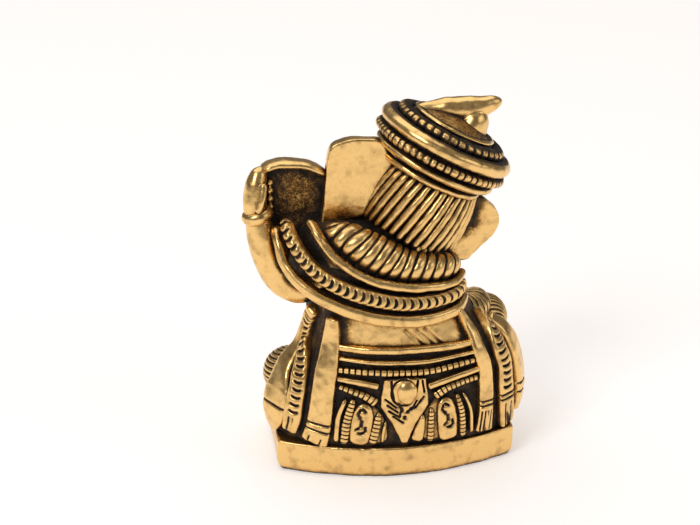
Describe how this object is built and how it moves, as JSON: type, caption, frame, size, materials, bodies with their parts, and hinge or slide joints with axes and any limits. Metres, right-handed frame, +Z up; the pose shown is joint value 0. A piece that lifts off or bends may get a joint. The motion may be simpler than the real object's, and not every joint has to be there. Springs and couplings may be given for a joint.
{
  "type": "deity figurine",
  "caption": "Small seated elephant-headed deity in solid antiqued brass, with turban, garland, side stoles and axe, on a low flat-bottomed plinth.",
  "frame": {"origin": "middle of the plinth's flat underside", "axes": "+Z up through the head, -Y the way the figure faces, +X towards the figure's own left hand"},
  "size_m": [0.0394, 0.0244, 0.05],
  "materials": {
    "brass_polished": "cast brass, tumbled and hand-polished satin on the high surfaces, thin brown-black patina left in pits and edges",
    "brass_antiqued": "cast brass with chased relief, chemically blackened and rubbed back so that recesses stay black and ridges shine"
  },
  "bodies": {
    "root": {"axe_blade": "brass_antiqued", "axe_rim": "brass_polished", "back_sash": "brass_antiqued", "base_plinth": "brass_polished", "belly": "brass_polished", "eyes": "brass_antiqued", "forehead_mark": "brass_antiqued", "garland_inner_band": "brass_polished", "garland_outer_band": "brass_polished", "garland_rope": "brass_antiqued", "hair_roll": "brass_antiqued", "hair_strands": "brass_antiqued", "head": "brass_polished", "hips": "brass_antiqued", "left_anklet": "brass_antiqued", "left_arm": "brass_polished", "left_bangle": "brass_antiqued", "left_cloth_folds": "brass_antiqued", "left_ear": "brass_polished", "left_foot": "brass_polished", "left_hand": "brass_polished", "left_leg": "brass_polished", "left_stole_inner": "brass_polished", "left_stole_middle": "brass_antiqued", "left_stole_outer": "brass_polished", "left_swag": "brass_polished", "left_swag_beads": "brass_antiqued", "left_tusk": "brass_polished", "right_arm": "brass_polished", "right_bangle": "brass_antiqued", "right_cloth_folds": "brass_antiqued", "right_ear": "brass_polished", "right_foot": "brass_polished", "right_hand": "brass_polished", "right_leg": "brass_polished", "right_stole_inner": "brass_polished", "right_stole_middle": "brass_antiqued", "right_stole_outer": "brass_polished", "right_swag": "brass_polished", "right_swag_beads": "brass_antiqued", "right_tusk": "brass_polished", "sash_medallion": "brass_polished", "shoulders": "brass_antiqued", "sweet": "brass_polished", "topknot": "brass_polished", "torso": "brass_antiqued", "trunk": "brass_polished", "turban_coil_1": "brass_polished", "turban_coil_2": "brass_polished", "turban_coil_3": "brass_antiqued", "turban_coil_4": "brass_polished", "turban_coil_5": "brass_antiqued", "turban_coil_6": "brass_polished", "turban_crown": "brass_antiqued", "turban_jewel": "brass_antiqued", "waist_beads": "brass_antiqued", "waist_cord": "brass_antiqued", "waist_rim": "brass_polished"}
  },
  "joints": []
}
